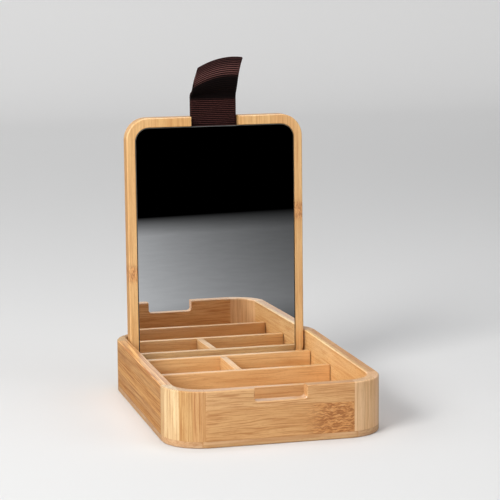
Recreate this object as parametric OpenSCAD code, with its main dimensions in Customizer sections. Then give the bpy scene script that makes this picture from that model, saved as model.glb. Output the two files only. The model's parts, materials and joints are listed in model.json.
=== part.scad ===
// Bamboo vanity box with a mirror in its hinged lid, shown open.
// Millimetres. The origin is the centre of the footprint, on the underside of the base.
// +X is the right-hand side, +Y the back, +Z up.
//
// The lid turns on two hidden pins near the back. Closed, it lies on the dividers,
// mirror face down and just below the rim, and its strap hangs out through the notch
// in the front wall. Open, the part of the lid below the pins rests on a stop strip.

/* [Box] */
// Width over the side walls
box_w = 130; // [120:1:180]
// Depth over the front and back walls
box_d = 177; // [168:1:240]
// Height from the underside to the rim
box_h = 33; // [30:0.5:60]
// Thickness of the four walls
wall_t = 7; // [6:0.5:8]
// Thickness of the bottom board
base_t = 4; // [3:0.5:8]
// Outer radius of the four corners
corner_r = 24; // [22:0.5:26]
// Inner radius of the two rear corners, small enough for the lid to turn past them
rear_inner_r = 9; // [8:0.5:9.5]
// How far a corner block reaches along the front or back wall
block_x = 21; // [20:1:30]
// How far a corner block reaches along a side wall
block_y = 24; // [24:1:34]
// Chamfer on the outer and inner edges of the rim
rim_chamfer = 0.6; // [0.2:0.1:1.2]
// Chamfer on the lower edge of the bottom board
base_chamfer = 0.6; // [0.2:0.1:1.5]

/* [Notch for the strap] */
// Gap between the strap and each side of the notch
notch_side_gap = 0.7; // [0.4:0.1:3]
// Gap between the strap and the floor of the notch, with the lid closed
notch_floor_gap = 1; // [0.3:0.1:2]
// Radius of the notch's lower corners
notch_r = 2.2; // [1.5:0.1:3]
// Chamfer round the notch's mouth on the front
notch_chamfer = 0.5; // [0.2:0.1:1]

/* [Dividers] */
// Thickness of every divider
divider_t = 4.5; // [3:0.5:6]
// Chamfer along the top edges of every divider
divider_chamfer = 0.4; // [0.1:0.1:1]
// Gap between the end of a divider and what it stands beside
divider_gap = 0.35; // [0.1:0.05:0.6]
// From the inside of the front wall to the front divider
front_row = 41; // [30:0.5:50]
// From the front divider to the middle divider
middle_row = 42.5; // [30:0.5:55]

/* [Lid] */
// Thickness of the lid
lid_t = 10; // [9:0.5:12]
// Gap between the lid and each side wall
lid_side_gap = 1; // [0.6:0.1:2]
// Gap between the closed lid and the front wall
lid_front_gap = 3.7; // [2:0.1:6]
// How far the closed lid lies below the rim
lid_drop = 0.8; // [0:0.1:2]
// Gap between the closed lid and the dividers
lid_rest_gap = 0.2; // [0.1:0.1:1]
// Radius of the lid's corners at its free end
lid_front_r = 14; // [13:0.5:20]
// Radius of the lid's corners at its hinge end
lid_heel_r = 8; // [7.5:0.5:9]
// How far the lid reaches past the pins at its hinge end
lid_heel = 11.6; // [10:0.1:16]
// Chamfer on the long edges of the lid
lid_chamfer = 0.6; // [0.2:0.1:1.2]
// How far the lid is turned open from closed, in degrees
lid_open = 90.85; // [90:0.05:91.5]

/* [Mirror] */
// Width of the wooden stile on each side of the mirror
stile_w = 5.3; // [5:0.1:12]
// Width of the wooden rail at the free end
top_rail_w = 5.8; // [4:0.1:14]
// Width of the wooden rail at the hinge end
heel_rail_w = 3.4; // [3:0.1:10]
// Radius of the mirror recess's corners at the free end
recess_r = 9; // [4:0.5:12]
// Radius of the mirror recess's corners at the hinge end
recess_heel_r = 2; // [1.5:0.5:9]
// Thickness of the mirror glass
glass_t = 2.8; // [2:0.1:3.4]
// Thickness of the adhesive pad behind the glass
pad_t = 0.4; // [0.2:0.1:0.8]
// How far the glass lies below the wood round it
glass_sink = 0.2; // [0:0.1:0.6]
// Gap round the glass in its recess
glass_gap = 0.4; // [0.2:0.1:1]
// How far the pad's edge lies inside the glass's edge
pad_inset = 2; // [1:0.5:6]

/* [Strap] */
// Width of the webbing
strap_w = 29.6; // [20:0.2:34]
// Thickness of the doubled webbing
strap_t = 3.1; // [2:0.1:3.8]
// Gap between the strap and each side of its groove
strap_side_gap = 0.6; // [0.3:0.1:1.5]
// Gap between the mirror's pad and the strap's tail under it
strap_tail_gap = 0.7; // [0.2:0.1:1.4]
// Gap behind the strap in its groove
strap_floor_gap = 0.2; // [0.1:0.1:0.5]
// Length of strap held under the mirror
strap_tail = 17; // [10:1:30]
// Gap between the end of the strap and the end of its groove
strap_end_gap = 1; // [0.5:0.5:3]
// Straight length of strap past the front wall's outer face
strap_clear = 0.6; // [0.5:0.1:3]
// Radius of the strap's forward bend
bend_r = 6.5; // [4.5:0.5:8]
// Angle of the strap's forward bend, in degrees
bend_angle = 40; // [30:1:60]
// Radius of the strap's crown below its foremost line, where it turns upright again
crown_front_r = 13; // [8:0.5:16]
// Radius of the strap's crown above its foremost line, where it leans back
crown_back_r = 14; // [8:0.5:16]
// How far the top of the strap leans back, in degrees
lean_angle = 53; // [30:1:70]
// How far the top of the strap is pulled to the right
strap_pull = 5.2; // [0:0.1:8]
// Rise of the strap's top across its width, on the side it is pulled to
strap_rise = 0.21; // [0:0.01:0.3]
// How much the strap's top rounds off across its width
strap_droop = 0.012; // [0:0.0005:0.014]

/* [Hinge] */
// Least gap between the lid and the back wall as the lid turns
swing_gap = 0.47; // [0.3:0.01:3]
// Radius of the hinge pins
pin_r = 1.5; // [1:0.1:1.6]
// Radial clearance of the pins in the corner blocks
pin_clearance = 0.05; // [0.02:0.01:0.1]
// Wood left between a pin's bore in the lid and the mirror recess
lid_bore_skin = 0.5; // [0.3:0.1:1.5]
// Wood left between a hinge bore and the outside of the straight wall
block_bore_skin = 2.1; // [1.8:0.1:3]
// Gap past the end of the pin in its blind bore
pin_end_gap = 0.3; // [0.2:0.1:0.5]
// Width of the strip that stops the open lid
stop_w = 90; // [40:1:100]
// Thickness of the stop strip
stop_t = 8.2; // [4:0.1:14]
// How far the stop strip overlaps the lower end of the open lid
stop_overlap = 2.4; // [1.5:0.1:3]
// Gap between the stop strip and the open lid
stop_gap = 0.25; // [0.1:0.05:0.5]

/* [Hidden] */

// Reach of cutting shapes past the faces they cut
cut = 1;

// Inside of the box
inner_w = box_w - 2 * wall_t;
inner_front = -box_d / 2 + wall_t;
inner_back = box_d / 2 - wall_t;
front_inner_r = corner_r - wall_t;

// Dividers
divider_top = box_h - lid_drop - lid_t - lid_rest_gap;
divider_h = divider_top - base_t;
divider_w = inner_w - 2 * divider_gap;
front_divider_y = inner_front + front_row;
middle_divider_y = front_divider_y + divider_t + middle_row;

// Lid, measured from the pin axis with the lid closed: -Y to its free end, -Z to its mirror face
hinge_y = inner_back - norm([lid_heel, lid_t / 2]) - swing_gap;
hinge_z = divider_top + lid_rest_gap + lid_t / 2;
lid_w = inner_w - 2 * lid_side_gap;
lid_reach = hinge_y - inner_front - lid_front_gap;
mirror_face = -lid_t / 2;
recess_h = glass_sink + glass_t + pad_t;
recess_w = lid_w - 2 * stile_w;
recess_front = -lid_reach + top_rail_w;
recess_back = lid_heel - heel_rail_w;

// Strap, measured along the lid from its free end and back from the mirror face
strap_straight = lid_front_gap + wall_t + strap_clear;
strap_depth = recess_h + strap_tail_gap;
strap_middle = strap_depth + strap_t / 2;
groove_w = strap_w + 2 * strap_side_gap;
groove_h = strap_depth + strap_t + strap_floor_gap;
strap_columns = 10;

// Notch, round the strap of the closed lid
notch_w = strap_w + 2 * notch_side_gap;
notch_floor = hinge_z + mirror_face + strap_depth - notch_floor_gap;
notch_top = box_h + cut + notch_r;

// Hinge pins
pin_in_lid = stile_w - lid_bore_skin;
block_bore_h = wall_t - block_bore_skin;
pin_in_block = block_bore_h - pin_end_gap;

// Stop strip, which meets the lower end of the open lid, and the rear divider that carries it
open_lean = lid_open - 90;
stop_back_y = hinge_y - lid_t / 2 / cos(open_lean) - lid_heel * tan(open_lean) - stop_gap;
stop_front_y = stop_back_y - stop_t;
stop_h = hinge_z - lid_heel + stop_overlap - base_t;
rear_divider_y = stop_front_y - divider_t;

// A flat shape between two Y positions, with its own corner radius at each end
module slab_outline(w, y0, y1, r0, r1) {
    translate([-w / 2, y0 + r0])
        square([w, y1 - y0 - r0 - r1]);
    translate([-w / 2 + r0, y0])
        square([w - 2 * r0, r0]);
    translate([-w / 2 + r1, y1 - r1])
        square([w - 2 * r1, r1]);
    for (side = [-1, 1]) {
        translate([side * (w / 2 - r0), y0 + r0])
            circle(r0, $fn = 96);
        translate([side * (w / 2 - r1), y1 - r1])
            circle(r1, $fn = 96);
    }
}

// Cuts the chamfer along a slab's upper edge, at Z 0: way is 1 for the edge round a solid
// and -1 for the edge round a hole
module edge_chamfer(size, way, w, y0, y1, r0, r1) {
    module section() {
        polygon([[-way * (size + cut), cut], [way * cut, cut], [way * cut, -size - cut]]);
    }
    module bar(length) {
        rotate([90, 0, 0])
            linear_extrude(length)
                section();
    }
    module bend(r) {
        rotate_extrude(angle = 90, $fn = 96)
            translate([r, 0])
                section();
    }
    for (half = [0, 1]) mirror([half, 0, 0]) {
        translate([w / 2, y1 - r1, 0])
            bar(y1 - y0 - r0 - r1);
        translate([0, y0, 0])
            rotate([0, 0, -90])
                bar(w / 2 - r0);
        translate([w / 2 - r1, y1, 0])
            rotate([0, 0, 90])
                bar(w / 2 - r1);
        translate([w / 2 - r0, y0 + r0, 0])
            rotate([0, 0, -90])
                bend(r0);
        translate([w / 2 - r1, y1 - r1, 0])
            bend(r1);
    }
}

// ---- Walls ----

module box_outline() {
    slab_outline(box_w, -box_d / 2, box_d / 2, corner_r, corner_r);
}

module inside_outline() {
    slab_outline(inner_w, inner_front, inner_back, front_inner_r, rear_inner_r);
}

module wall_ring() {
    difference() {
        translate([0, 0, base_t])
            linear_extrude(box_h - base_t)
                difference() {
                    box_outline();
                    inside_outline();
                }
        translate([0, 0, box_h]) {
            edge_chamfer(rim_chamfer, 1, box_w, -box_d / 2, box_d / 2, corner_r, corner_r);
            edge_chamfer(rim_chamfer, -1, inner_w, inner_front, inner_back, front_inner_r, rear_inner_r);
        }
    }
}

// The part of the wall ring inside a plan rectangle
module wall_piece(x0, x1, y0, y1) {
    intersection() {
        wall_ring();
        translate([x0, y0, 0])
            cube([x1 - x0, y1 - y0, box_h + cut]);
    }
}

module corner_block(side, end) {
    x_in = box_w / 2 - block_x;
    y_in = box_d / 2 - block_y;
    wall_piece(
        side < 0 ? -box_w / 2 - cut : x_in,
        side < 0 ? -x_in : box_w / 2 + cut,
        end < 0 ? -box_d / 2 - cut : y_in,
        end < 0 ? -y_in : box_d / 2 + cut
    );
}

// A corner block with the blind bore that a hinge pin runs in
module hinge_block(side) {
    difference() {
        corner_block(side, 1);
        translate([side * (inner_w / 2 - cut), hinge_y, hinge_z])
            rotate([0, side * 90, 0])
                cylinder(r = pin_r + pin_clearance, h = cut + block_bore_h, $fn = 48);
    }
}

// The notch that the strap of the closed lid hangs out through, cut from above
module strap_notch() {
    translate([0, -box_d / 2, 0])
        rotate([90, 0, 0]) {
            translate([0, 0, -wall_t - cut])
                linear_extrude(wall_t + 2 * cut)
                    slab_outline(notch_w, notch_floor, notch_top, notch_r, notch_r);
            edge_chamfer(notch_chamfer, -1, notch_w, notch_floor, notch_top, notch_r, notch_r);
        }
}

module base_board() {
    color("burlywood")
        difference() {
            linear_extrude(base_t)
                box_outline();
            mirror([0, 0, 1])
                edge_chamfer(base_chamfer, 1, box_w, -box_d / 2, box_d / 2, corner_r, corner_r);
        }
}

module front_wall() {
    x_in = box_w / 2 - block_x;
    color("burlywood")
        difference() {
            wall_piece(-x_in, x_in, -box_d / 2 - cut, 0);
            strap_notch();
        }
}

module back_wall() {
    x_in = box_w / 2 - block_x;
    color("burlywood")
        wall_piece(-x_in, x_in, 0, box_d / 2 + cut);
}

module side_wall(side) {
    y_in = box_d / 2 - block_y;
    color("tan")
        wall_piece(
            side < 0 ? -box_w / 2 - cut : 0,
            side < 0 ? 0 : box_w / 2 + cut,
            -y_in,
            y_in
        );
}

// ---- Dividers ----

// A divider's upright section, with its top edges eased
module divider_section() {
    polygon([
        [0, 0],
        [divider_t, 0],
        [divider_t, divider_h - divider_chamfer],
        [divider_t - divider_chamfer, divider_h],
        [divider_chamfer, divider_h],
        [0, divider_h - divider_chamfer],
    ]);
}

module cross_divider(y) {
    translate([-divider_w / 2, y, base_t])
        rotate([90, 0, 90])
            linear_extrude(divider_w)
                divider_section();
}

module front_divider() {
    color("peru") cross_divider(front_divider_y);
}

module middle_divider() {
    color("peru") cross_divider(middle_divider_y);
}

module rear_divider() {
    color("peru") cross_divider(rear_divider_y);
}

module centre_divider() {
    y0 = middle_divider_y + divider_t + divider_gap;
    y1 = rear_divider_y - divider_gap;
    color("wheat")
        translate([-divider_t / 2, y1, base_t])
            rotate([90, 0, 0])
                linear_extrude(y1 - y0)
                    divider_section();
}

// ---- Lid ----

// Turns a piece drawn on the closed lid to where it is with the lid open
module on_lid() {
    translate([0, hinge_y, hinge_z])
        rotate([-lid_open, 0, 0])
            children();
}

module recess_outline(inset, heel_r) {
    slab_outline(
        recess_w - 2 * inset,
        recess_front + inset,
        recess_back - inset,
        recess_r - inset,
        heel_r - inset
    );
}

module lid_board() {
    difference() {
        translate([0, 0, mirror_face])
            linear_extrude(lid_t)
                slab_outline(lid_w, -lid_reach, lid_heel, lid_front_r, lid_heel_r);
        for (face = [0, 1])
            mirror([0, 0, face])
                translate([0, 0, lid_t / 2])
                    edge_chamfer(lid_chamfer, 1, lid_w, -lid_reach, lid_heel, lid_front_r, lid_heel_r);
    }
}

module mirror_recess() {
    translate([0, 0, mirror_face - cut])
        linear_extrude(recess_h + cut)
            recess_outline(0, recess_heel_r);
}

// The groove that the strap lies in, through the top rail and on under the mirror
module strap_groove() {
    length = cut + top_rail_w + strap_tail + strap_end_gap;
    translate([-groove_w / 2, -lid_reach - cut, mirror_face - cut])
        cube([groove_w, length, groove_h + cut]);
}

module pin_shape(side, radius, inner_end, outer_end) {
    translate([side * inner_end, 0, 0])
        rotate([0, side * 90, 0])
            cylinder(r = radius, h = outer_end - inner_end, $fn = 48);
}

module lid_panel() {
    color("navajowhite")
        on_lid()
            difference() {
                lid_board();
                mirror_recess();
                strap_groove();
                for (side = [-1, 1])
                    pin_shape(side, pin_r, lid_w / 2 - pin_in_lid, lid_w / 2 + cut);
            }
}

module mirror_glass() {
    color("lightsteelblue")
        on_lid()
            translate([0, 0, mirror_face + recess_h - pad_t - glass_t])
                linear_extrude(glass_t)
                    recess_outline(glass_gap, recess_heel_r);
}

module mirror_pad() {
    color("dimgray")
        on_lid()
            translate([0, 0, mirror_face + recess_h - pad_t])
                linear_extrude(pad_t)
                    recess_outline(glass_gap + pad_inset, recess_r);
}

// ---- Strap ----
// Its middle line runs straight through the groove and the notch, bends forward, then
// turns back over a crown. Positions are [distance past the lid's free end, distance
// behind the mirror face, direction in degrees from straight on].

// Positions on an arc that goes on from p, turning to a new direction in a number of steps:
// a positive radius turns back, a negative one forward
function turn(p, radius, to, steps) = [
    for (i = [1:steps]) let (a = p[2] + (to - p[2]) * i / steps)
        [p[0] + radius * (sin(p[2]) - sin(a)), p[1] - radius * (cos(a) - cos(p[2])), a]
];

straight_points = [
    for (s = [-top_rail_w - strap_tail, -top_rail_w, 0, strap_straight / 2, strap_straight])
        [s, strap_middle, 0]
];
bend_points = turn(straight_points[len(straight_points) - 1], -bend_r, bend_angle, 8);
front_points = turn(bend_points[len(bend_points) - 1], crown_front_r, 0, 8);
back_points = turn(front_points[len(front_points) - 1], crown_back_r, -lean_angle, 12);
strap_line = concat(straight_points, bend_points, front_points, back_points);
strap_height = strap_line[len(strap_line) - 1][0] - strap_straight;

// 0 on the straight part, rising smoothly to 1 over the first half of the free part
function strap_free(s) =
    let (t = min(max((s - strap_straight) / strap_height * 2, 0), 1))
    t * t * (3 - 2 * t);

// The doubled webbing is rounded where it folds over at the end of the line
function fold_scale(i) =
    let (left = len(strap_line) - 1 - i)
    left >= 3 ? 1 : [0.25, 0.72, 0.92][left];

// A point on the front (face = 1) or back (face = -1) of the strap, at station i
function strap_point(i, x, face) =
    let (
        p = strap_line[i],
        half = strap_t / 2 * fold_scale(i),
        s = p[0] - face * half * sin(p[2]),
        d = p[1] - face * half * cos(p[2]),
        free = strap_free(p[0]),
        pulled = strap_pull * pow(max(p[0] - strap_straight, 0) / strap_height, 3)
    )
    [
        x + pulled,
        -lid_reach - s - free * (strap_rise * x - strap_droop * x * x),
        mirror_face + d
    ];

function strap_ring(i) = concat(
    [for (c = [0:strap_columns]) strap_point(i, strap_w * (c / strap_columns - 0.5), 1)],
    [for (c = [strap_columns:-1:0]) strap_point(i, strap_w * (c / strap_columns - 0.5), -1)]
);

module pull_strap() {
    rings = len(strap_line);
    around = 2 * (strap_columns + 1);
    points = [for (i = [0:rings - 1]) each strap_ring(i)];
    sides = [for (i = [0:rings - 2], k = [0:around - 1])
        let (a = i * around + k, b = i * around + (k + 1) % around)
        each [[a, b, b + around], [a, b + around, a + around]]];
    tail_end = [for (k = [0:strap_columns - 1]) let (m = around - 1 - k)
        each [[k, m, m - 1], [k, m - 1, k + 1]]];
    last = (rings - 1) * around;
    fold_end = [for (k = [0:strap_columns - 1]) let (m = around - 1 - k)
        each [[last + k, last + m - 1, last + m], [last + k, last + k + 1, last + m - 1]]];
    color("saddlebrown")
        on_lid()
            polyhedron(points, concat(sides, tail_end, fold_end));
}

// ---- Hinge ----

module hinge_pin(side) {
    color("silver")
        translate([0, hinge_y, hinge_z])
            pin_shape(side, pin_r, lid_w / 2 - pin_in_lid, inner_w / 2 + pin_in_block);
}

// The strip behind the rear divider that the open lid leans against
module lid_stop() {
    color("peru")
        translate([-stop_w / 2, stop_front_y, base_t])
            cube([stop_w, stop_t, stop_h]);
}

base_board();
front_wall();
back_wall();
side_wall(-1);  // left_wall
side_wall(1);  // right_wall
color("wheat") corner_block(-1, -1);  // corner_block_front_left
color("wheat") corner_block(1, -1);  // corner_block_front_right
color("wheat") hinge_block(-1);  // corner_block_rear_left
color("wheat") hinge_block(1);  // corner_block_rear_right
front_divider();
middle_divider();
rear_divider();
centre_divider();
lid_stop();
lid_panel();
mirror_glass();
mirror_pad();
pull_strap();
hinge_pin(-1);  // hinge_pin_left
hinge_pin(1);  // hinge_pin_right
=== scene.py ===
"""Looks for a bamboo vanity box with a mirror lid, built round its fixed CAD frame."""

from __future__ import annotations

import json
import logging
import math
from collections.abc import Callable, Iterator, Sequence
from contextlib import contextmanager
from dataclasses import dataclass, field
from enum import Enum

import bpy
from mathutils import Matrix, Vector


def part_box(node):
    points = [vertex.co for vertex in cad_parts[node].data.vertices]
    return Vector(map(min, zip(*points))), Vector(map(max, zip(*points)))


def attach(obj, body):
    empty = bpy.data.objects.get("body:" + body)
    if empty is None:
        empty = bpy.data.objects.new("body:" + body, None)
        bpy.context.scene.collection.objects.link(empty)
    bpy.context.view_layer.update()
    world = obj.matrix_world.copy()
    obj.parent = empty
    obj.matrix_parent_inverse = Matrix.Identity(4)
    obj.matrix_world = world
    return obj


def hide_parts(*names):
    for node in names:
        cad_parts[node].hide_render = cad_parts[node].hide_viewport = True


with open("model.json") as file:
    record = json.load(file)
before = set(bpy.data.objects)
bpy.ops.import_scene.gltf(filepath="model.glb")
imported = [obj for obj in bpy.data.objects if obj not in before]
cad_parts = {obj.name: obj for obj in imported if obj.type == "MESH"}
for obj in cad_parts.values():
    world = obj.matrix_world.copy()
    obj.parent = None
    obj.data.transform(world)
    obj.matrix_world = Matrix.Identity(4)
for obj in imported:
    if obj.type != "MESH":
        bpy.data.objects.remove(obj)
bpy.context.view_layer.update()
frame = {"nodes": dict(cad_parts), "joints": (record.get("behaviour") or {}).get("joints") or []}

logging.basicConfig(level=logging.INFO, format="%(message)s")
log = logging.getLogger("vanity_box")

Triple = tuple[float, float, float]
Colour = Triple
Span = tuple[float, float]
Piece = bpy.types.Object
Socket = bpy.types.NodeSocket
Material = bpy.types.Material
MM = 0.001
PLAIN = (1.0, 1.0, 1.0)

# Waves a metre of each kind of mark in bamboo: along the fibres, across and through.
SWAY, CLOUDS = (26, 75, 75), (13, 60, 60)
BANDS, LINES = (5, 330, 330), (6, 620, 620)
STREAKS, FIBRES, PORES = (34, 880, 880), (70, 2100, 2100), (420, 1500, 1500)
KNOT_BEND, KNOT_SWIRL = (330, 330, 200), (270, 1450, 1100)

STRIP_SHIFT = 0.37  # metres along the grain by which strips may differ
SEED_STEP = 0.173  # metres along the grain from one seed's wood to the next
GLUE_EDGE, GLUE_CORE = 0.00018, 0.00003  # metres from a glue line to its edge and its dark core


def mm(*sizes: float) -> tuple[float, ...]:
    """Turns millimetres into metres."""
    return tuple(size * MM for size in sizes)


# ---- Working on meshes by hand ----


def let_go() -> None:
    """Deselects every object and leaves none active."""
    bpy.ops.object.select_all(action="DESELECT")
    bpy.context.view_layer.objects.active = None


def take(piece: Piece) -> None:
    """Makes one object the only selected and active one.

    Args:
        piece: The object to work on.
    """
    let_go()
    piece.select_set(True)
    bpy.context.view_layer.objects.active = piece


@contextmanager
def edit_mode(piece: Piece) -> Iterator[None]:
    """Opens a piece in edit mode with nothing selected, and closes it again.

    Args:
        piece: The mesh object to open.
    """
    take(piece)
    bpy.ops.object.mode_set(mode="EDIT")
    bpy.ops.mesh.select_all(action="DESELECT")
    try:
        yield
    finally:
        bpy.ops.object.mode_set(mode="OBJECT")


def choose_edges(piece: Piece, wanted: Callable[[Vector, Vector], bool]) -> None:
    """Selects edges of a piece that is open in edit mode, and nothing else.

    Args:
        piece: The mesh object.
        wanted: Says from an edge's two ends whether it is selected.
    """
    bpy.ops.mesh.select_mode(type="EDGE")
    bpy.ops.mesh.select_all(action="DESELECT")
    bpy.ops.object.mode_set(mode="OBJECT")
    points = piece.data.vertices
    for edge in piece.data.edges:
        edge.select = wanted(*(points[i].co for i in edge.vertices))
    bpy.ops.object.mode_set(mode="EDIT")


def add_block(name: str, low: Vector, high: Vector) -> Piece:
    """Adds a cube primitive between two corners, with its place in its mesh.

    Args:
        name: The piece's name.
        low: Its lowest corner, in metres.
        high: Its highest corner, in metres.

    Returns:
        The new object, at the origin.
    """
    let_go()
    bpy.ops.mesh.primitive_cube_add(size=1, location=(low + high) / 2, scale=high - low)
    piece = bpy.context.active_object
    piece.name = piece.data.name = name
    bpy.ops.object.transform_apply()
    return piece


def put_in_place(piece: Piece, place: Matrix) -> None:
    """Lays a piece in its place, with the place in its mesh, and keeps it selected.

    Args:
        piece: The mesh object, at the origin.
        place: Where its own frame lies.
    """
    take(piece)
    piece.matrix_world = place
    bpy.ops.object.transform_apply()


def dress(piece: Piece, *materials: Material) -> None:
    """Gives a piece its finishes, in its own slots where it has them.

    Args:
        piece: A new piece or a CAD node.
        materials: The finishes, in the order of the slots.
    """
    while len(piece.material_slots) < len(materials):
        piece.data.materials.append(None)
    for slot, material in zip(piece.material_slots, materials):
        slot.material = material


# ---- Finishes ----


class Grain(Enum):
    """Which way a board's fibres run, as the order of its axes: along, across, through."""

    SIDEWAYS = ("X", "Z", "Y")
    DEEP = ("Y", "Z", "X")
    UPRIGHT = ("Z", "X", "Y")
    FLAT_SIDEWAYS = ("X", "Y", "Z")


class Bench:
    """Puts the nodes of one material, or of the room's air, together. A socket may stand
    wherever a number may."""

    def __init__(self, name: str, shelf: bpy.types.bpy_prop_collection | None = None) -> None:
        """Starts an empty material.

        Args:
            name: The material's name.
            shelf: Where it is kept, if not with the materials.
        """
        self.material = (bpy.data.materials if shelf is None else shelf).new(name)
        self.material.use_nodes = True
        self.tree = self.material.node_tree
        self.tree.nodes.clear()

    def add(self, kind: str, **settings: object) -> bpy.types.Node:
        """Adds a node.

        Args:
            kind: Its type, without Blender's ShaderNode.
            settings: Its properties, by name.

        Returns:
            The new node.
        """
        node = self.tree.nodes.new(f"ShaderNode{kind}")
        for key, value in settings.items():
            setattr(node, key, value)
        return node

    def feed(self, socket: Socket, value: object) -> None:
        """Sets a socket to a number or colour, or links another socket into it.

        Args:
            socket: The input that is fed.
            value: What it gets.
        """
        if isinstance(value, Socket):
            self.tree.links.new(value, socket)
        else:
            socket.default_value = value

    def make(self, kind: str, feeds: dict[int | str, object], out: int | str = 0,
             **settings: object) -> Socket:
        """Adds a node with its inputs fed.

        Args:
            kind: Its type.
            feeds: What each input gets, by number or name.
            out: The wanted output.
            settings: Its properties, by name.

        Returns:
            That output.
        """
        node = self.add(kind, **settings)
        for key, value in feeds.items():
            self.feed(node.inputs[key], value)
        return node.outputs[out]

    def here(self, space: str = "Object") -> list[Socket]:
        """Reads a point's three coordinates."""
        return self.parts(self.add("TexCoord").outputs[space])

    def sum(self, operation: str, a: object, b: object = 0.0, c: object = 0.0,
            held: bool = False) -> Socket:
        """Does one step of arithmetic.

        Args:
            operation: The Math node's operation.
            a: First value.
            b: Second value.
            c: Third value, for operations that take one.
            held: Keeps the result between 0 and 1.

        Returns:
            The result's socket.
        """
        return self.make("Math", {0: a, 1: b, 2: c}, operation=operation, use_clamp=held)

    def times(self, a: object, b: object) -> Socket:
        """Multiplies two values."""
        return self.sum("MULTIPLY", a, b)

    def fade(self, value: object, start: float, end: float) -> Socket:
        """Runs smoothly from 0 at start to 1 at end, up or down."""
        up = float(start < end)
        return self.make("MapRange", {
            "Value": value, "From Min": min(start, end), "From Max": max(start, end),
            "To Min": 1.0 - up, "To Max": up}, interpolation_type="SMOOTHSTEP")

    def point(self, x: object, y: object, z: object) -> Socket:
        """Joins three values into a vector."""
        return self.make("CombineXYZ", {0: x, 1: y, 2: z})

    def parts(self, vector: Socket) -> list[Socket]:
        """Takes a vector apart into its three values."""
        return list(self.make("SeparateXYZ", {0: vector}).node.outputs)

    def noise(self, place: Sequence[object], waves: Triple, detail: float = 2.0,
              roughness: float = 0.5) -> Socket:
        """Reads noise, with so many waves a metre along each of a place's three values."""
        vector = self.make("Mapping", {"Vector": self.point(*place), "Scale": waves})
        return self.make("TexNoise", {
            "Vector": vector, "Scale": 1.0, "Detail": detail, "Roughness": roughness}, "Fac")

    def mix(self, share: object, a: object, b: object, blend: str = "MIX") -> Socket:
        """Mixes two colours.

        Args:
            share: How much of the second.
            a: First colour.
            b: Second colour.
            blend: The Mix node's blend type.

        Returns:
            The mixed colour's socket.
        """
        first, second = ((*c, 1.0) if isinstance(c, tuple) else c for c in (a, b))
        return self.make("Mix", {0: share, 6: first, 7: second}, 2,
                         data_type="RGBA", blend_type=blend)

    def stain(self, share: object, strength: float, colour: object, other: object) -> Socket:
        """Lays another colour over the first, by share times strength."""
        return self.mix(self.times(share, strength), colour, other)

    def surface(self, **sockets: object) -> None:
        """Adds the Principled shader, with its sockets fed by name."""
        shader = self.make("BsdfPrincipled", {
            key.replace("_", " "): value for key, value in sockets.items()})
        self.feed(self.add("OutputMaterial").inputs["Surface"], shader)

    def bump(self, height: Socket, strength: float, distance: float) -> Socket:
        """Turns a height into a normal."""
        return self.make("Bump", {
            "Height": height, "Strength": strength, "Distance": distance})

    def rays(self) -> tuple[Socket, ...]:
        """Tells the rays apart that reach a point.

        Returns:
            Whether the camera sees it, whether a mirror or glass does, and whether it lights
            something matt.
        """
        path = self.add("LightPath").outputs
        mirrored = self.sum("MAXIMUM", path["Is Glossy Ray"], path["Is Transmission Ray"])
        return path["Is Camera Ray"], mirrored, path["Is Diffuse Ray"]


@dataclass(frozen=True)
class Knot:
    """One bamboo node: a patch of darker, swirled fibres across a strip.

    Args:
        along: Where it starts and ends along the grain, in metres.
        across: The strip that it crosses, from and to, in metres.
        soft: How gently it starts and ends, in metres; at 0 it is cut off sharply.
        depth: How dark it is, from 0 to 1.
        layer: The layer that it lies in, from and to through the board, in metres.
        sway: How far its fibres swirl to the side, in metres.
        ragged: How unevenly a soft end of it runs, in metres.
        fibre: Colour of its paler fibres.
        core: Colour of its darkest fibres.
    """

    along: Span
    across: Span
    soft: Span
    depth: float
    layer: Span = (-1.0, 1.0)
    sway: float = 0.003
    ragged: float = 0.006
    fibre: Colour = (0.70, 0.335, 0.105)
    core: Colour = (0.37, 0.130, 0.028)


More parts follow.
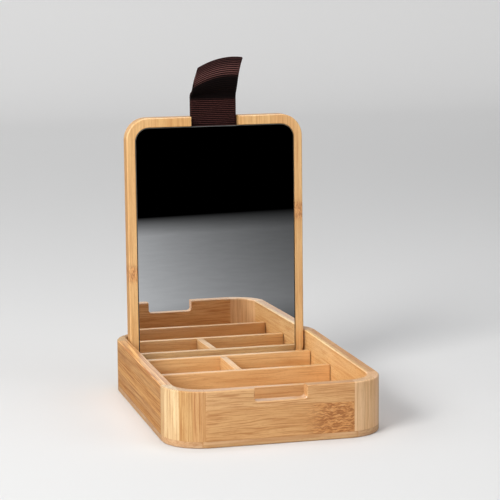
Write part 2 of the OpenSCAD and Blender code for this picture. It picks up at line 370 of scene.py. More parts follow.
@dataclass(frozen=True)
class Bamboo:
    """Laminated bamboo under a thin satin lacquer.

    Args:
        name: The finish's name.
        grain: Which way the fibres run.
        strip: Width and thickness of the strips it is glued from, in metres.
        pale: Colour of the soft tissue between the fibres.
        tan: The board's usual colour.
        brown: Colour of the fibre bundles.
        tone: What the whole board's colour is multiplied by.
        start: Where the strips start, across and through, in metres.
        tints: Tones of the first strips across, one by one.
        layers: Tones of the first layers through the board, one by one.
        uneven: How much the strips differ from each other.
        bands: How strongly bands a few millimetres wide show.
        lines: How strongly long thin lines show.
        line_width: How wide those lines are, as a step of their noise.
        fibres: How strongly the fibre bundles show.
        finer: How much finer the fibre bundles are than usual.
        ripple: How far the fibres wave to and fro, in metres.
        specks: How strongly pores show as dots and dashes.
        knots: Nodes that lie at known places.
        seed: Picks another cut of the same wood.
    """

    name: str
    grain: Grain
    strip: Span
    pale: Colour = (0.77, 0.465, 0.200)
    tan: Colour = (0.655, 0.350, 0.130)
    brown: Colour = (0.46, 0.185, 0.042)
    tone: Colour = PLAIN
    start: Span = mm(4, -100)
    tints: tuple[Colour, ...] = ()
    layers: tuple[Colour, ...] = ()
    uneven: float = 0.06
    bands: float = 0.3
    lines: float = 0.3
    line_width: float = 0.03
    fibres: float = 0.5
    finer: float = 1.0
    ripple: float = 0.0012
    specks: float = 0.2
    knots: tuple[Knot, ...] = ()
    seed: float = 0.0

    def material(self) -> Material:
        """Builds the finish's nodes.

        Returns:
            The material.
        """
        b = Bench(self.name)
        xyz = dict(zip("XYZ", b.here()))
        along, across, through = (xyz[axis] for axis in self.grain.value)

        count_across, count_through = (
            b.sum("DIVIDE", b.sum("SUBTRACT", place, start), size)
            for place, start, size in zip((across, through), self.start, self.strip))
        pick = b.add("TexWhiteNoise")
        b.feed(pick.inputs["Vector"], b.point(
            b.sum("FLOOR", count_across), b.sum("FLOOR", count_through), self.seed))
        strip_shift, strip_hue, _ = b.parts(pick.outputs["Color"])

        seeded = b.sum("ADD", along, self.seed * SEED_STEP)
        run = b.sum("MULTIPLY_ADD", strip_shift, STRIP_SHIFT, seeded)
        sway = b.noise((run, across, through), SWAY)
        side = b.sum("MULTIPLY_ADD", b.sum("SUBTRACT", sway, 0.5), self.ripple * 2, across)
        streaks = tuple(waves * self.finer for waves in STREAKS)
        fibrous = (run, side, through)
        band = b.noise(fibrous, BANDS, 3, 0.6)
        line = b.noise(fibrous, LINES, 2, 0.55)
        streak = b.noise(fibrous, streaks)
        fibre = b.noise(fibrous, FIBRES, 2, 0.55)
        pore = b.noise(fibrous, PORES, 1)
        cloud = b.noise((run, across, through), CLOUDS)

        # Each kind of mark lays its colour on between two levels of its noise.
        colour = b.mix(b.fade(cloud, 0.3, 0.7), self.pale, self.tan)
        for mark, paint, start, end, strength in (
            (band, self.brown, 0.56, 0.34, self.bands),
            (band, self.pale, 0.50, 0.68, self.bands),
            (b.sum("ABSOLUTE", b.sum("SUBTRACT", line, 0.47)), self.brown,
             self.line_width, self.line_width * 0.2, self.lines),
            (streak, self.brown, 0.49, 0.34, self.fibres),
            (streak, self.pale, 0.52, 0.68, self.fibres * 0.8),
            (fibre, self.brown, 0.47, 0.32, self.fibres * 0.5),
            (fibre, self.pale, 0.54, 0.70, self.fibres * 0.4),
            (pore, self.brown, 0.56, 0.70, self.specks),
        ):
            colour = b.stain(b.fade(mark, start, end), strength, colour, paint)

        for knot in self.knots:
            colour = self._knot(b, colour, (along, across, side, run, through), knot)

        shade = b.make("HueSaturation", {
            "Color": colour,
            "Value": b.sum("MULTIPLY_ADD", b.sum("SUBTRACT", pick.outputs["Value"], 0.5),
                           self.uneven * 2, 1.0),
            "Saturation": b.sum("MULTIPLY_ADD", strip_hue, 0.1, 0.95),
        })
        colour = b.mix(1.0, shade, self.tone, "MULTIPLY")
        for count, tints in ((count_across, self.tints), (count_through, self.layers)):
            if tints:
                colour = b.mix(1.0, colour, self._tints(b, count, tints), "MULTIPLY")

        seam = b.sum("MINIMUM", self._near_line(b, count_across, self.strip[0]),
                     self._near_line(b, count_through, self.strip[1]))
        glue = b.times(b.fade(seam, GLUE_EDGE, GLUE_CORE), 0.4)
        colour = b.mix(glue, colour, self.brown)

        height = b.sum("ADD", b.times(fibre, 0.7), b.times(pore, 0.5))
        height = b.sum("SUBTRACT", height, b.times(glue, 0.6))
        b.surface(
            Base_Color=colour,
            Roughness=b.sum("MULTIPLY_ADD", fibre, -0.2, 0.58),
            Specular_IOR_Level=0.42,
            Coat_Weight=0.7,
            Coat_Roughness=0.22,
            Normal=b.bump(height, 0.22, 0.00012),
        )
        return b.material

    @staticmethod
    def _tints(b: Bench, count: Socket, tints: tuple[Colour, ...]) -> Socket:
        """Gives each of the first strips its own tone.

        Args:
            b: The material's bench.
            count: Place across or through the board, counted in strips.
            tints: The tones.

        Returns:
            The tone at each point.
        """
        ramp = b.add("ValToRGB")
        ramp.color_ramp.interpolation = "CONSTANT"
        b.feed(ramp.inputs["Fac"], b.sum("DIVIDE", count, len(tints)))
        points = ramp.color_ramp.elements
        while len(points) < len(tints):
            points.new(0.5)
        for i, tint in enumerate(tints):
            points[i].position = i / len(tints)
            points[i].color = (*tint, 1.0)
        return ramp.outputs["Color"]

    @staticmethod
    def _near_line(b: Bench, count: Socket, width: float) -> Socket:
        """Measures how far a point is from the nearest glue line, in metres."""
        part = b.sum("FRACT", count)
        return b.times(b.sum("MINIMUM", part, b.sum("SUBTRACT", 1.0, part)), width)

    def _knot(self, b: Bench, colour: Socket, places: tuple[Socket, ...], knot: Knot) -> Socket:
        """Draws one node at its known place.

        Args:
            b: The material's bench.
            colour: The wood's colour round it.
            places: Place along the grain, across the board, across it swayed as the fibres
                are, along the strip, and through the board.
            knot: The node's facts.

        Returns:
            The colour with the node on it.
        """
        along, across, side, run, through = places
        bend = b.noise((run, across, through), KNOT_BEND)
        bent = b.sum("MULTIPLY_ADD", bend, knot.sway, side)
        swirl = b.noise((run, bent, through), KNOT_SWIRL, 2, 0.55)
        ragged = b.sum("MULTIPLY_ADD", b.sum("SUBTRACT", swirl, 0.5), knot.ragged, along)
        (start, end), (soft_start, soft_end) = knot.along, knot.soft
        sharp = 0.01 * MM
        inside = b.times(
            b.fade(ragged if soft_start else along, start - soft_start, start + soft_start + sharp),
            b.fade(ragged if soft_end else along, end + soft_end + sharp, end - soft_end))
        for place, (low, high) in ((across, knot.across), (through, knot.layer)):
            inside = b.times(inside, b.times(
                b.sum("GREATER_THAN", place, low), b.sum("LESS_THAN", place, high)))
        fibres = b.mix(b.fade(swirl, 0.58, 0.40), knot.fibre, knot.core)
        fibres = b.stain(b.fade(swirl, 0.58, 0.70), 0.8, fibres, self.pale)
        return b.stain(inside, knot.depth, colour, fibres)


@dataclass(frozen=True)
class Webbing:
    """Dark brown ribbed webbing, woven from matt yarn. The strap's own UV map runs across
    it in U and along it in V, in metres.

    Args:
        yarn: Colour of the ribs.
        shadow: Colour between the ribs.
        rib: Distance from rib to rib, in metres.
        end: Distance from one warp yarn to the next across the strap, in metres.
        painted_shade_band: Where the band of painted shade starts and ends on the left edge, in
            metres.
        slope: How much higher the band ends for each metre to the right.
        worn: Colour of the fine hairs on the ribs.
        painted_highlight: Colour of the painted highlight on the ribs just above the band of
            painted shade.
    """

    yarn: Colour = (0.125, 0.038, 0.034)
    shadow: Colour = (0.0015, 0.0006, 0.0006)
    rib: float = 1.2 * MM
    end: float = 0.9 * MM
    painted_shade_band: Span = mm(33.3, 48.0)
    slope: float = 0.03
    worn: Colour = (0.30, 0.125, 0.11)
    painted_highlight: Colour = (0.42, 0.19, 0.17)

    def material(self) -> Material:
        """Builds the finish's nodes.

        Returns:
            The material.
        """
        b = Bench("strap_webbing")
        u, v, _ = b.here("UV")
        slack = b.noise((u, v, 0.0), (380, 380, 1), 3, 0.6)
        hair = b.noise((u, v, 0.0), (2300, 1900, 1), 2, 0.6)
        row = b.sum("DIVIDE", v, self.rib)
        odd = b.times(b.sum("MODULO", b.sum("FLOOR", b.sum("ABSOLUTE", row)), 2.0), 0.5)
        column = b.sum("ADD", b.sum("DIVIDE", u, self.end), odd)
        yarn_wave = b.sum("SINE", b.times(column, 2 * math.pi))
        rib_wave = b.sum("COSINE", b.times(row, 2 * math.pi))
        crown = b.sum("POWER", b.sum("MULTIPLY_ADD", rib_wave, 0.5, 0.5), 3.2)
        weave = b.times(crown, b.sum("MULTIPLY_ADD", yarn_wave, 0.45, 0.60))

        # Painted shade: a dark band over the forward bend, where the strap faces down.
        low, high = self.painted_shade_band
        upper = b.sum("SUBTRACT", v, b.times(u, self.slope))
        painted_bend_shade = b.times(b.fade(v, low - 0.0008, low + 0.0008),
                          b.fade(upper, high + 0.0015, high - 0.0015))
        # Painted highlight on the ribs just above that band, where the strap turns toward the
        # light.
        above = b.times(b.fade(upper, high - 0.001, high + 0.0015),
                        b.fade(upper, high + 0.009, high + 0.003))
        # Painted shade over the strap's top part, which leans back.
        far = b.fade(upper, high + 0.004, high + 0.012)
        colour = b.mix(b.sum("MULTIPLY", weave, 1.0, held=True), self.shadow, self.yarn)
        for share, strength, paint in (
            (b.fade(hair, 0.46, 0.66), b.times(weave, 0.4), self.worn),
            (b.fade(slack, 0.45, 0.75), 0.3, self.shadow),
            (painted_bend_shade, 0.95, self.shadow),
            (above, b.times(weave, 0.5), self.painted_highlight),
            (far, 0.35, self.shadow),
        ):
            colour = b.stain(share, strength, colour, paint)
        b.surface(
            Base_Color=colour,
            Roughness=0.80,
            Specular_IOR_Level=0.07,
            Sheen_Weight=0.012,
            Sheen_Roughness=0.5,
            Sheen_Tint=(0.55, 0.38, 0.36, 1.0),
            Normal=b.bump(b.sum("ADD", weave, b.times(hair, 0.3)), 0.6, 0.00012),
        )
        return b.material


@dataclass(frozen=True)
class Silvering:
    """The silvered face of the mirror, with faint wiping marks.

    Args:
        tint: What the glass leaves of the light.
    """

    tint: Colour = (0.86, 0.88, 0.88)

    def material(self) -> Material:
        """Builds the finish's nodes.

        Returns:
            The material.
        """
        b = Bench("mirror_silver")
        place = b.here()
        wiped = b.noise(place, (26, 26, 7), 3, 0.6)
        dust = b.noise(place, (2100, 2100, 2100), 1)
        speck = b.times(b.fade(dust, 0.84, 0.88), 0.1)
        rough = b.sum("ADD", b.times(b.fade(wiped, 0.55, 0.8), 0.012), speck)
        shade = b.mix(b.fade(wiped, 0.35, 0.75), self.tint, tuple(c * 0.97 for c in self.tint))
        b.surface(Base_Color=shade, Metallic=1.0, Roughness=b.sum("ADD", rough, 0.006))
        return b.material


@dataclass(frozen=True)
class GroundGlass:
    """The ground edge and bevel of the mirror's glass.

    Args:
        body: Colour of the glass seen from its edge.
    """

    body: Colour = (0.075, 0.078, 0.075)

    def material(self) -> Material:
        """Builds the finish's nodes.

        Returns:
            The material.
        """
        b = Bench("mirror_edge")
        grit = b.noise(b.here(), (1900, 1900, 1900), 2, 0.6)
        colour = b.mix(grit, self.body, tuple(c * 1.5 for c in self.body))
        b.surface(Base_Color=colour, Roughness=b.sum("MULTIPLY_ADD", grit, 0.2, 0.35),
                  Specular_IOR_Level=0.3, Normal=b.bump(grit, 0.1, 0.00005))
        return b.material


@dataclass(frozen=True)
class Steel:
    """Drawn steel wire of the hinge pins.

    Args:
        metal: Its colour.
    """

    metal: Colour = (0.56, 0.55, 0.53)

    def material(self) -> Material:
        """Builds the finish's nodes.

        Returns:
            The material.
        """
        b = Bench("pin_steel")
        drawn = b.noise(b.here(), (90, 3800, 3800), 3, 0.6)
        b.surface(Base_Color=b.mix(drawn, self.metal, (0.40, 0.39, 0.38)), Metallic=1.0,
                  Roughness=b.sum("MULTIPLY_ADD", drawn, 0.22, 0.24),
                  Normal=b.bump(drawn, 0.1, 0.00003))
        return b.material


@dataclass(frozen=True)
class FoamPad:
    """Grey closed-cell foam tape behind the mirror.

    Args:
        foam: Its colour.
    """

    foam: Colour = (0.16, 0.16, 0.165)

    def material(self) -> Material:
        """Builds the finish's nodes.

        Returns:
            The material.
        """
        b = Bench("foam_pad")
        place = b.point(*b.here())
        depth = b.make("TexVoronoi", {"Vector": place, "Scale": 2600}, "Distance")
        b.surface(Base_Color=b.mix(depth, self.foam, (0.09, 0.09, 0.095)), Roughness=0.9,
                  Normal=b.bump(depth, 0.4, 0.0001))
        return b.material


# ---- The box ----


@dataclass
class TrayBox:
    """The low box: bottom board, walls, corner blocks, dividers and the lid's stop strip.

    Args:
        eased: Rounding of the dividers' edges, in metres.
        body: The CAD body that the box is.
        boards: The wood of each board, by its CAD node.
    """

    eased: float = 0.35 * MM
    body: str = "box"
    boards: dict[str, Bamboo] = field(default_factory=dict)

    def __post_init__(self) -> None:
        """Chooses the wood of each board."""
        self.boards = {
            "front_wall": Bamboo(
                "bamboo_front", Grain.SIDEWAYS, mm(18, 20),
                tone=(0.88, 0.81, 0.74), tints=(PLAIN, (1.03, 1.06, 1.12)), uneven=0.0,
                bands=0.15, fibres=0.7, finer=1.5, ripple=1.8 * MM, seed=3.0,
                knots=(Knot(mm(19, 43.6), mm(4, 21.8), mm(10, 0), 0.9, mm(-90, -84)),)),
            "back_wall": Bamboo(
                "bamboo_back", Grain.SIDEWAYS, mm(18, 20),
                uneven=0.05, bands=0.12, lines=0.22, fibres=0.46, ripple=2.0 * MM, seed=7.0,
                knots=(Knot(mm(-31, -14), mm(4, 22), mm(4.5, 2), 0.7),)),
            "left_wall": Bamboo(
                "bamboo_left", Grain.DEEP, mm(4.9, 2.35), start=mm(4, -65),
                tone=(1.25, 1.22, 1.02), brown=(0.38, 0.145, 0.034), uneven=0.10, bands=0.35,
                lines=1.0, line_width=0.065, fibres=0.6, ripple=0.4 * MM, seed=11.0),
            "right_wall": Bamboo(
                "bamboo_right", Grain.DEEP, mm(9.7, 2.35), start=mm(4, 58),
                # The first layer, at the inner face, is painted paler: painted light standing in
                # for what the mirror throws onto it.
                layers=((1.18, 1.47, 1.76), (0.93, 0.90, 0.90), (1.05, 1.05, 1.05)),
                bands=0.5, lines=0.5, ripple=0.5 * MM, specks=0.8, seed=15.0),
            "base_board": Bamboo(
                "bamboo_base", Grain.FLAT_SIDEWAYS, mm(22, 2), start=(0.0, 0.0),
                tone=(0.86, 0.90, 1.10), uneven=0.05, bands=0.2, lines=0.2, fibres=0.4, seed=19.0),
        }
        cuts = {
            "left": dict(
                start=mm(-65, -120), pale=(0.82, 0.60, 0.315), tan=(0.72, 0.465, 0.21),
                brown=(0.50, 0.23, 0.065), lines=0.75,
                tints=((0.97, 0.97, 0.97), (0.82, 0.71, 0.57), (0.86, 0.70, 0.56))),
            "right": dict(
                start=mm(44, -120), pale=(0.84, 0.54, 0.29), tan=(0.74, 0.43, 0.19),
                brown=(0.57, 0.29, 0.10), lines=0.5,
                tints=((0.95, 0.94, 0.92), PLAIN, (1.02, 1.0, 1.02))),
        }
        for side, end, seed in (
            ("left", "front", 23.0), ("left", "rear", 27.0),
            ("right", "front", 54.0), ("right", "rear", 58.0),
        ):
            self.boards[f"corner_block_{end}_{side}"] = Bamboo(
                f"bamboo_block_{end}_{side}", Grain.UPRIGHT, mm(7, 30), uneven=0.02,
                bands=0.35, line_width=0.045, fibres=0.55, finer=1.4, ripple=0.3 * MM,
                seed=seed, **cuts[side])
        # The centre divider's whiter tone is a painted sheen: the pale glare of its top, laid over
        # the whole board.
        cool, sheen_white = (1.02, 1.1, 1.2), (1.06, 1.15, 1.35)
        for name, grain, tone, seed in (
            ("front_divider", Grain.SIDEWAYS, PLAIN, 41.0),
            ("middle_divider", Grain.SIDEWAYS, PLAIN, 43.0),
            ("rear_divider", Grain.SIDEWAYS, cool, 47.0),
            ("centre_divider", Grain.DEEP, sheen_white, 53.0),
            ("lid_stop", Grain.SIDEWAYS, cool, 59.0),
        ):
            self.boards[name] = Bamboo(
                f"bamboo_{name}", grain, mm(22, 8), tone=tone, uneven=0.04, bands=0.2,
                lines=0.2, fibres=0.4, ripple=1.6 * MM, seed=seed)

    def build(self) -> None:
        """Dresses the CAD boards and makes the dividers with eased edges."""
        for name, wood in self.boards.items():
            if "divider" in name or name == "lid_stop":
                self._divider(name, wood.material())
            else:
                dress(frame["nodes"][name], wood.material())
                log.info("%s: CAD board in %s", name, wood.name)

    def _divider(self, name: str, wood: Material) -> None:
        """Makes one divider strip with its edges eased, where its CAD node stands.

        Args:
            name: The CAD node that it stands for.
            wood: Its finish.
        """
        strip = add_block(f"{name}_board", *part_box(name))
        take(strip)
        bevel = strip.modifiers.new("eased", "BEVEL")
        bevel.width, bevel.segments = self.eased, 3
        bevel.limit_method, bevel.angle_limit = "ANGLE", math.radians(40)
        bpy.ops.object.modifier_apply(modifier=bevel.name)
        bpy.ops.object.shade_smooth_by_angle(angle=math.radians(32))
        dress(strip, wood)
        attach(strip, self.body)
        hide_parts(name)
        log.info("%s: eased board, %d faces", strip.name, len(strip.data.polygons))


# ---- The lid ----


@dataclass
class LidPlace:
    """Where the open lid stands. The lid's own frame is the closed lid's, at the hinge axis:
    X to the right, Y from the free end to the heel, Z up, so its mirror looks down.

    Args:
        lean: How far the lid is turned open, in degrees.
    """

    lean: float = 90.85

    @property
    def matrix(self) -> Matrix:
        """The lid's own frame in the row frame."""
        hinge = Vector(frame["joints"][0]["pos_m"])
        return Matrix.Translation(hinge) @ Matrix.Rotation(math.radians(-self.lean), 4, "X")

    def box(self, node: str) -> tuple[Vector, Vector]:
        """Measures a CAD node of the lid in the lid's own frame.

        Args:
            node: The CAD node's name.

        Returns:
            Its lowest and highest corner.
        """
        inverse = self.matrix.inverted()
        sides = list(zip(*(inverse @ v.co for v in frame["nodes"][node].data.vertices)))
        return Vector(map(min, sides)), Vector(map(max, sides))


@dataclass
class MirrorLid:
    """The lid board with its mirror, foam pad and hinge pins.

    Args:
        place: Where the lid stands.
        corner: Radius of the glass's corners at the free end, in metres.
        heel_corner: Radius of its corners at the hinge end.
        arris: Width of the ground bevel round the glass's face, in metres.
        body: The CAD body that the lid is.
    """

    place: LidPlace
    corner: float = 8.6 * MM
    heel_corner: float = 1.6 * MM
    arris: float = 0.28 * MM
    body: str = "lid"

    def build(self) -> None:
        """Dresses the lid board, pad and pins, and makes the glass."""
        wood = Bamboo(
            "bamboo_lid", Grain.UPRIGHT, mm(19, 40), start=mm(-57, 50),
            pale=(0.81, 0.51, 0.208), tan=(0.70, 0.39, 0.139), brown=(0.52, 0.225, 0.052),
            uneven=0.03, lines=0.5, fibres=0.42, ripple=0.5 * MM, seed=71.0,
            knots=(Knot(mm(70, 80), mm(-58, -50), mm(3, 3), 0.85),
                   Knot(mm(105.5, 116.5), mm(51, 58), mm(3, 3), 0.8)))
        dress(frame["nodes"]["lid_panel"], wood.material())
        dress(frame["nodes"]["mirror_pad"], FoamPad().material())
        steel = Steel().material()
        for side in ("left", "right"):
            dress(frame["nodes"][f"hinge_pin_{side}"], steel)
        log.info("lid_panel, mirror_pad and hinge pins: CAD pieces in their finishes")
        self._glass()

    def _glass(self) -> None:
        """Makes the mirror: a rounded sheet with a ground arris round its face."""
        low, high = self.place.box("mirror_glass")
        near = 0.001 * MM
        glass = add_block("mirror_sheet", low, high)
        with edit_mode(glass):
            choose_edges(glass, lambda a, b: abs(a.z - b.z) > MM and a.y < 0)
            bpy.ops.mesh.bevel(offset=self.corner, segments=14, affect="EDGES")
            choose_edges(glass, lambda a, b: abs(a.z - b.z) > MM and min(a.y, b.y) > high.y - near)
            bpy.ops.mesh.bevel(offset=self.heel_corner, segments=6, affect="EDGES")
            choose_edges(glass, lambda a, b: max(a.z, b.z) < low.z + near)
            bpy.ops.mesh.bevel(offset=self.arris, segments=1, affect="EDGES")
        dress(glass, Silvering().material(), GroundGlass().material())
        for polygon in glass.data.polygons:
            polygon.material_index = 0 if polygon.normal.z < -0.999 else 1
        put_in_place(glass, self.place.matrix)
        bpy.ops.object.shade_smooth_by_angle(angle=math.radians(25))
        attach(glass, self.body)
        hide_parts("mirror_glass")
        log.info("%s: %d faces", glass.name, len(glass.data.polygons))


@dataclass
class PullStrap:
    """The pull strap: one length of ribbed webbing, doubled and folded over at the top. Its
    middle line leaves the lid straight, bends forward and turns back over a crown.

    Args:
        place: Where the lid stands.
        width: Width of the webbing, in metres.
        ply: Thickness of one layer.
        gap: Gap between the layers.
        tail: Length held under the mirror and the rail, before the lid's free end.
        straight: Straight length past the free end.
        reach: Distance from the hinge axis to the free end.
        middle: Where the middle line lies, above the lid's middle plane.
        bend: Radius and angle in degrees of the forward bend.
        crown: Radius of the crown below its foremost line, where it turns upright again.
        lean: Radius of the crown above that line and angle in degrees of its end.
        pull: How far the top is pulled to the right.
        rise: Rise of the top across its width.
        droop: How the top rounds off across its width, per metre.
        rib: Distance from rib to rib.
        rib_rows: How many rows of faces a rib gets.
        rib_height: How far a rib stands out.
        rib_sink: Share of that height that lies below the layer's usual face.
        body: The CAD body that the strap rides on.
    """

    place: LidPlace
    width: float = 29.6 * MM
    ply: float = 1.42 * MM
    gap: float = 0.1 * MM
    tail: float = 22.8 * MM
    straight: float = 11.3 * MM
    reach: float = 146.198 * MM
    middle: float = 0.65 * MM
    bend: Span = (6.5 * MM, 40.0)
    crown: float = 13 * MM
    lean: Span = (14 * MM, -53.0)
    pull: float = 5.2 * MM
    rise: float = 0.21
    droop: float = 12.0
    rib: float = 1.2 * MM
    rib_rows: int = 6
    rib_height: float = 0.2 * MM
    rib_sink: float = 0.6
    body: str = "lid"

    def _middle_line(self, s: float) -> tuple[float, float, float]:
        """Follows the middle line.

        Args:
            s: Length along it from the lid's free end.

        Returns:
            Distance past the free end, distance behind the line of the straight part,
            and direction in radians.
        """
        if s <= self.straight:
            return s, 0.0, 0.0
        out, behind, heading, left = self.straight, 0.0, 0.0, s - self.straight
        for radius, to in self._arcs:
            step = min(left, radius * abs(to - heading))
            way = 1.0 if to > heading else -1.0
            a = heading + way * step / radius
            out -= way * radius * (math.sin(heading) - math.sin(a))
            behind += way * radius * (math.cos(a) - math.cos(heading))
            heading, left = a, left - step
        return out, behind, heading

    @property
    def _arcs(self) -> tuple[Span, ...]:
        """Radius and end direction, in radians, of the bend and the two parts of the crown."""
        return ((self.bend[0], math.radians(self.bend[1])), (self.crown, 0.0),
                (self.lean[0], math.radians(self.lean[1])))

    @property
    def _length(self) -> float:
        """Length of the middle line past the free end."""
        headings = (0.0, *(to for _, to in self._arcs))
        return self.straight + sum(
            radius * abs(to - before) for (radius, to), before in zip(self._arcs, headings))

    @property
    def _apart(self) -> float:
        """Distance from the middle line to the middle of a layer."""
        return (self.ply + self.gap) / 2

    def _point(self, s: float, x: float, off: float) -> Vector:
        """Places a point of the webbing in the lid's own frame.

        Args:
            s: Length along the middle line from the free end.
            x: Place across the strap.
            off: Distance from the middle line, to the mirror's side.

        Returns:
            The point.
        """
        out, behind, a = self._middle_line(s)
        top = self._middle_line(self._length)[0] - self.straight
        part = max(out - self.straight, 0.0) / top
        t = min(part * 2, 1.0)
        free = t * t * (3 - 2 * t)
        out -= off * math.sin(a)
        behind -= off * math.cos(a)
        lift = free * (self.rise * x - self.droop * x * x)
        return Vector((x + self.pull * part ** 3, -self.reach - out - lift, self.middle + behind))

    def _webbing(self, t: float) -> tuple[float, float, float]:
        """Follows the doubled webbing, up the front, over the fold and down the back.

        Args:
            t: Length along it from the front layer's tail.

        Returns:
            Length along the middle line, distance from it to the mirror's side, and how far
            the webbing has turned over the fold, in radians.
        """
        apart = self._apart
        up = self.tail + self._length - apart
        fold = math.pi * apart
        if t <= up:
            return t - self.tail, apart, 0.0
        if t <= up + fold:
            a = (t - up) / apart
            return self._length - apart + apart * math.sin(a), apart * math.cos(a), a
        return self._length - apart - (t - up - fold), -apart, math.pi

    def build(self) -> None:
        """Weaves the strap and lays it on its line."""
        total = 2 * (self.tail + self._length - self._apart) + math.pi * self._apart
        rows = round(total / self.rib) * self.rib_rows
        ring = self._ring()
        let_go()
        bpy.ops.mesh.primitive_grid_add(x_subdivisions=len(ring), y_subdivisions=rows, size=2)
        strap = bpy.context.active_object
        strap.name = strap.data.name = "pull_strap_webbing"
        self._roll(strap, ring, rows, total)
        with edit_mode(strap):
            bpy.ops.mesh.select_all(action="SELECT")
            bpy.ops.mesh.remove_doubles(threshold=0.001 * MM)
            bpy.ops.mesh.select_all(action="DESELECT")
            bpy.ops.mesh.select_mode(type="EDGE")
            bpy.ops.mesh.select_non_manifold(extend=False)
            bpy.ops.mesh.edge_face_add()
            bpy.ops.mesh.select_all(action="SELECT")
            bpy.ops.mesh.normals_make_consistent(inside=False)
        put_in_place(strap, self.place.matrix)
        bpy.ops.object.shade_smooth_by_angle(angle=math.radians(60))
        dress(strap, Webbing(rib=self.rib).material())
        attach(strap, self.body)
        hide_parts("pull_strap")
        log.info("%s: %d faces, %.1f mm of webbing", strap.name, len(strap.data.polygons),
                 total / MM)

    def _roll(self, strap: Piece, ring: list[Span], rows: int, total: float) -> None:
        """Rolls the flat grid up into ribbed webbing on its line, and maps it in metres.

        Args:
            strap: The grid, two units wide and long.
            ring: The webbing's section, which the grid's columns go round.
            rows: How many rows of faces the grid has.
            total: Length of the webbing, in metres.
        """
        mapped: dict[int, Span] = {}
        girth = [0.0]
        for (x0, h0), (x1, h1) in zip(ring, ring[1:] + ring[:1]):
            girth.append(girth[-1] + math.hypot(x1 - x0, h1 - h0))
        for vertex in strap.data.vertices:
            k = round((vertex.co.x + 1) / 2 * len(ring))
            j = round((vertex.co.y + 1) / 2 * rows)
            x, h = ring[k % len(ring)]
            t = total * j / rows
            s, off, a = self._webbing(t)
            wave = math.cos(2 * math.pi * t / self.rib)
            h *= 1 + self.rib_height / (self.ply / 2) * (0.5 + 0.5 * wave - self.rib_sink)
            x *= 1 + 0.004 * wave
            vertex.co = self._point(s + h * math.sin(a), x, off + h * math.cos(a))
            mapped[vertex.index] = (girth[k], t)
        flat = strap.data.uv_layers.active
        flat.name = "webbing"
        for loop in strap.data.loops:
            flat.data[loop.index].uv = mapped[loop.vertex_index]

    def _ring(self) -> list[Span]:
        """Goes once round the webbing's section.

        Returns:
            Place across the strap and height over the layer's middle, point by point.
        """
        half, high = self.width / 2, self.ply / 2
        edge, columns = high * 0.8, 22
        top = [((half - edge) * (2 * i / columns - 1), high) for i in range(columns + 1)]
        turn = [(half - edge + edge * math.sin(a), high * math.cos(a))
                for a in (math.pi * i / 6 for i in range(1, 6))]
        under = [(-x, -h) for x, h in top]
        back = [(-x, -h) for x, h in turn]
        return top + turn + under + back


# ---- Studio ----


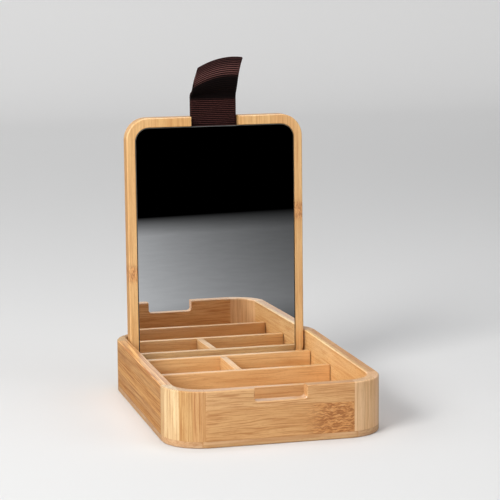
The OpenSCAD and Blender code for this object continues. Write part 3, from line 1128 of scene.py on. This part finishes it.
@dataclass
class Studio:
    """The floor, backdrop, lamps and camera. None of it belongs to the object.

    Args:
        eye: The camera's place, in metres.
        yaw: How far it looks to the right, in degrees.
        pitch: How far it looks down, in degrees.
        roll: How far it is tipped, in degrees.
        lens: Focal length on a 36 mm wide sensor, in millimetres.
        sweep: Where the flat part of the floor starts and ends, front to back, in metres.
        width: Width of the floor, in metres.
        curve: Radius of the rise behind the object, in metres.
        wall: Height of the backdrop above the rise, in metres.
        air: Strength of the even light round everything.
        dark: Colour of the room where the mirror looks down into it.
        pale: Colour of the room elsewhere in the mirror.
        lamps: Name, place, aim, size in metres, power in watts and colour of each lamp.
    """

    eye: Triple = (-0.29200, -1.15397, 0.29016)
    yaw: float = 14.444
    pitch: float = 9.167
    roll: float = -0.443
    lens: float = 143.475
    sweep: Span = (-3.5, 1.8)
    width: float = 6.0
    curve: float = 0.7
    wall: float = 2.2
    air: float = 0.26
    dark: Colour = (0.0003, 0.0003, 0.0003)
    pale: Colour = (0.9, 0.9, 0.92)
    lamps: Sequence[tuple[str, Triple, Triple, float, float, Colour]] = (
        ("key", (-1.42, -1.1, 1.1), (0, 0, 0.05), 0.9, 36.0, (1.0, 0.985, 0.96)),
        ("fill", (1.6, -1.1, 0.8), (0, 0, 0.05), 1.2, 9.0, PLAIN),
        ("side", (-1.7, 0.25, 0.8), (0, 0, 0.05), 1.5, 12.5, (1.0, 0.985, 0.96)),
        ("top", (0.1, 0.15, 1.6), (0, 0, 0.0), 0.8, 9.0, (0.95, 0.97, 1.0)),
    )

    def build(self) -> None:
        """Sets up the camera, then the floor, the lamps and the air."""
        self._camera()
        self._floor()
        self._lamps()
        self._air()
        bpy.context.scene.view_settings.view_transform = "Standard"

    def _camera(self) -> None:
        """Adds the camera at the photograph's angle."""
        let_go()
        bpy.ops.object.camera_add()
        camera = bpy.context.active_object
        camera.name = "camera"
        camera.data.sensor_fit = "HORIZONTAL"
        camera.data.sensor_width = 36.0
        camera.data.lens = self.lens
        camera.data.clip_start, camera.data.clip_end = 0.01, 50.0
        camera.matrix_world = (
            Matrix.Translation(Vector(self.eye))
            @ Matrix.Rotation(math.radians(-self.yaw), 4, "Z")
            @ Matrix.Rotation(math.radians(90 - self.pitch), 4, "X")
            @ Matrix.Rotation(math.radians(self.roll), 4, "Z")
        )
        bpy.context.scene.camera = camera

    def _floor(self) -> None:
        """Lays a pale paper sweep that rises behind the object."""
        let_go()
        bpy.ops.mesh.primitive_plane_add(size=1)
        floor = bpy.context.active_object
        floor.name = floor.data.name = "floor_sweep"
        front, back = self.sweep
        floor.location = (0, (front + back) / 2, 0)
        floor.scale = (self.width, back - front, 1)
        bpy.ops.object.transform_apply()
        steps = 10
        step = math.radians(90 / steps)
        length = self.curve * step
        moves = [(0, length * math.cos(rise), length * math.sin(rise))
                 for rise in (step * (i + 0.5) for i in range(steps))]
        with edit_mode(floor):
            for move in (*moves, (0, 0, self.wall)):
                choose_edges(floor, lambda a, b: min(a.y, b.y) > back - 0.01 * MM)
                bpy.ops.mesh.extrude_region_move(TRANSFORM_OT_translate={"value": move})
                back += move[1]
        bpy.ops.object.shade_smooth()
        dress(floor, self._paper())

    def _paper(self) -> Material:
        """Makes the sweep's paper, which throws little light back from behind the object.

        Returns:
            The material.
        """
        b = Bench("pale_paper")
        place = b.here()
        y = place[1]
        camera, mirrored, matt = b.rays()
        tooth = b.noise(place, (700, 700, 700))
        paper = b.stain(tooth, 0.4, (0.73, 0.73, 0.73), (0.70, 0.70, 0.705))
        paper = b.mix(b.times(b.fade(y, 0.25, 0.9), matt), paper, (0.30, 0.30, 0.31))
        shade = self._in_mirror(b, *place)
        b.surface(
            Base_Color=b.mix(mirrored, paper, (0.0, 0.0, 0.0)),
            Roughness=0.85,
            Specular_IOR_Level=0.0,
            Emission_Color=b.mix(mirrored, PLAIN, b.point(shade, shade, b.times(shade, 1.03))),
            Emission_Strength=b.sum(
                "ADD", mirrored, b.times(camera, b.times(b.fade(y, 0.3, 2.2), 0.3))),
        )
        return b.material

    @staticmethod
    def _in_mirror(b: Bench, x: Socket, y: Socket, z: Socket) -> Socket:
        """Shades the paper as the mirror shows it: bright at the left, dim at the right and
        dark toward the room in front.

        Args:
            b: The paper's bench.
            x: Place to the right.
            y: Place to the back.
            z: Height.

        Returns:
            How bright the paper looks.
        """
        falloff, level, dimmest, brightest = -8.0, 0.42, 0.07, 0.8
        right = b.sum("MULTIPLY_ADD", y, 0.11, b.sum("SUBTRACT", x, 0.0087))
        shade = b.times(b.sum("EXPONENT", b.times(right, falloff)), level)
        shade = b.sum("MAXIMUM", b.sum("MINIMUM", shade, brightest), dimmest)
        front_edge, edge_slant, edge_blur = 0.8596, 0.165, 0.16
        inside = b.sum("MULTIPLY_ADD", x, edge_slant, b.sum("ADD", y, front_edge))
        shade = b.times(shade, b.sum("DIVIDE", inside, edge_blur, held=True))
        mottle = b.noise((x, y, z), (45, 45, 45), 4, 0.6)
        shade = b.times(shade, b.sum("MULTIPLY_ADD", mottle, 0.2, 0.9))
        shade = b.times(shade, b.fade(y, -0.05, -0.3))
        under_box, backdrop = 0.1, 0.3
        shade = b.sum("MAXIMUM", shade, b.times(b.fade(y, -0.3, 0.0), under_box))
        return b.sum("MAXIMUM", shade, b.times(b.fade(z, 0.03, 0.3), backdrop))

    def _lamps(self) -> None:
        """Hangs the soft boxes: key at the front left, fill right, one left, one overhead."""
        for name, place, aim, size, watts, colour in self.lamps:
            let_go()
            bpy.ops.object.light_add(type="AREA", location=place)
            lamp = bpy.context.active_object
            lamp.name = f"{name}_soft_box"
            lamp.data.size, lamp.data.energy, lamp.data.color = size, watts, colour
            lamp.rotation_euler = (Vector(aim) - Vector(place)).to_track_quat("-Z", "Y").to_euler()

    def _air(self) -> None:
        """Fills the room with even light: pale to look at, dark where the mirror looks down
        and bright where it lights the rim from the front."""
        b = Bench("studio_air", bpy.data.worlds)
        bpy.context.scene.world = b.material
        _, y, z = b.here("Generated")
        camera, mirrored, _ = b.rays()
        lit = b.mix(b.fade(y, -0.5, 0.7), (self.air,) * 3, (self.air * 0.5,) * 3)
        seen = b.mix(camera, lit, (0.80, 0.80, 0.81))
        front = b.mix(b.fade(z, 0.02, 0.12), self.dark, self.pale)
        seen = b.mix(mirrored, seen, b.mix(b.fade(y, -0.6, 0.2), front, self.pale))
        air = b.make("Background", {"Color": seen})
        b.feed(b.add("OutputWorld").inputs["Surface"], air)


def main() -> None:
    """Builds the box, the lid with its mirror and strap, and the studio."""
    Studio().build()
    TrayBox().build()
    place = LidPlace()
    MirrorLid(place).build()
    PullStrap(place).build()


if __name__ == "__main__":
    main()
